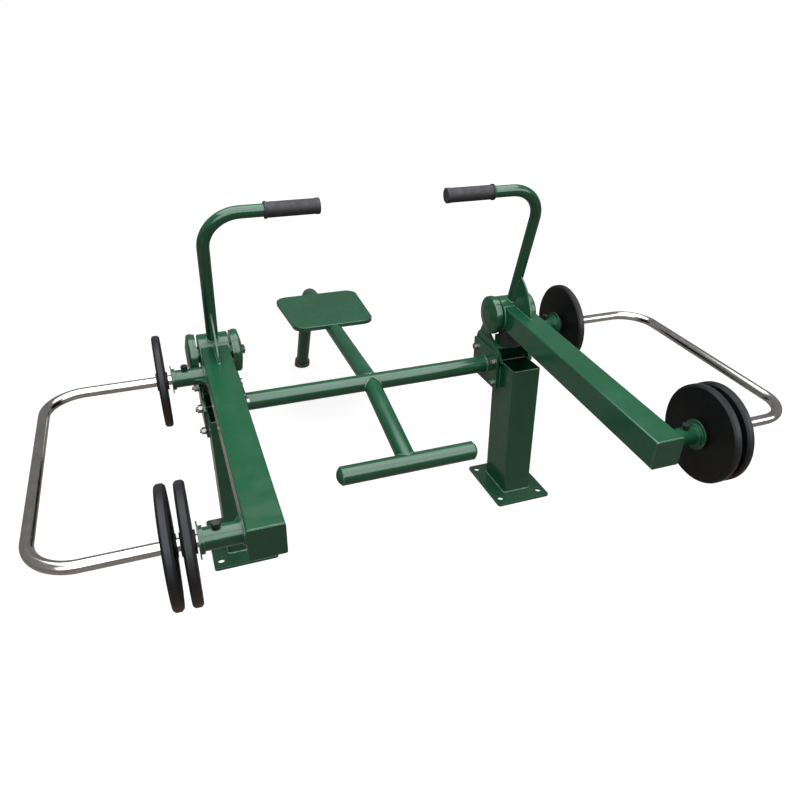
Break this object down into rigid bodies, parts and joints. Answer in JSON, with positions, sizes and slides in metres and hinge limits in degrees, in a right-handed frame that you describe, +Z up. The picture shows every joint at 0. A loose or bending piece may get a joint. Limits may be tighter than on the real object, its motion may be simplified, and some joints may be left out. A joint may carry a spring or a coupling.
{
  "type": "outdoor strength training machine",
  "caption": "Outdoor strength training machine with a rear seat, two pivoting lever arms with bent handles and U-shaped rails that carry weight discs.",
  "frame": {"origin": "on the ground under the middle of the machine's bounding box", "axes": "+X to the right as seen from the front (weight end), +Y towards the seat, +Z up"},
  "size_m": [1.924, 2.1306, 1.0998],
  "materials": {
    "green_paint": "glossy",
    "zinc_steel": "bright zinc",
    "polished_tube": "polished",
    "black_rubber": "matte",
    "grip_rubber": "matte",
    "plate_rubber": "satin",
    "black_plastic": "matte"
  },
  "bodies": {
    "frame": {"crossbar": "green_paint", "seat_tube": "green_paint", "seat_strip": "green_paint", "seat_pan": "green_paint", "front_tube": "green_paint", "footrest_bar": "green_paint", "footrest_caps": "green_paint", "flange_bolts": "zinc_steel", "flange_washers": "zinc_steel", "flange_nuts": "zinc_steel", "axle_nuts": "zinc_steel", "foot_ferrule": "black_rubber", "left_base_plate": "green_paint", "left_column": "green_paint", "left_inner_ear": "green_paint", "left_outer_ear": "green_paint", "left_rear_web": "green_paint", "left_pivot_caps": "green_paint", "left_flange_pad": "green_paint", "left_crossbar_flange": "green_paint", "left_stop_pad": "black_rubber", "left_axle": "zinc_steel", "right_base_plate": "green_paint", "right_column": "green_paint", "right_inner_ear": "green_paint", "right_outer_ear": "green_paint", "right_rear_web": "green_paint", "right_pivot_caps": "green_paint", "right_flange_pad": "green_paint", "right_crossbar_flange": "green_paint", "right_stop_pad": "black_rubber", "right_axle": "zinc_steel"},
    "left_arm": {"left_hub": "green_paint", "left_beam": "green_paint", "left_beam_cap": "green_paint", "left_handle": "green_paint", "left_handle_gusset": "green_paint", "left_upper_sleeve": "green_paint", "left_lower_sleeve": "green_paint", "left_bearings": "zinc_steel", "left_grip": "grip_rubber", "left_rail": "polished_tube", "left_clamp_bolts": "black_plastic"},
    "left_upper_plate_weight": {"left_upper_plate": "plate_rubber"},
    "left_inner_plate_weight": {"left_inner_plate": "plate_rubber"},
    "left_outer_plate_weight": {"left_outer_plate": "plate_rubber"},
    "right_arm": {"right_hub": "green_paint", "right_beam": "green_paint", "right_beam_cap": "green_paint", "right_handle": "green_paint", "right_handle_gusset": "green_paint", "right_upper_sleeve": "green_paint", "right_lower_sleeve": "green_paint", "right_bearings": "zinc_steel", "right_grip": "grip_rubber", "right_rail": "polished_tube", "right_clamp_bolts": "black_plastic"},
    "right_upper_plate_weight": {"right_upper_plate": "plate_rubber"},
    "right_inner_plate_weight": {"right_inner_plate": "plate_rubber"},
    "right_outer_plate_weight": {"right_outer_plate": "plate_rubber"}
  },
  "joints": [
    {"name": "left_arm_pivot", "type": "hinge", "parent": "frame", "child": "left_arm", "pos_m": [-0.49, -0.1475, 0.635], "axis": [-1, 0, 0], "range_deg": [0, 45]},
    {"name": "left_upper_plate_slide", "type": "slide", "parent": "left_arm", "child": "left_upper_plate_weight", "axis": [-1, 0, 0], "range_m": [-0.007, 0.18]},
    {"name": "left_inner_plate_slide", "type": "slide", "parent": "left_arm", "child": "left_inner_plate_weight", "axis": [-1, 0, 0], "range_m": [-0.0025, 0.0025]},
    {"name": "left_outer_plate_slide", "type": "slide", "parent": "left_arm", "child": "left_outer_plate_weight", "axis": [-1, 0, 0], "range_m": [-0.003, 0.15]},
    {"name": "right_arm_pivot", "type": "hinge", "parent": "frame", "child": "right_arm", "pos_m": [0.49, -0.1475, 0.635], "axis": [-1, 0, 0], "range_deg": [0, 45]},
    {"name": "right_upper_plate_slide", "type": "slide", "parent": "right_arm", "child": "right_upper_plate_weight", "axis": [1, 0, 0], "range_m": [-0.007, 0.18]},
    {"name": "right_inner_plate_slide", "type": "slide", "parent": "right_arm", "child": "right_inner_plate_weight", "axis": [1, 0, 0], "range_m": [-0.0025, 0.0025]},
    {"name": "right_outer_plate_slide", "type": "slide", "parent": "right_arm", "child": "right_outer_plate_weight", "axis": [1, 0, 0], "range_m": [-0.003, 0.15]}
  ]
}
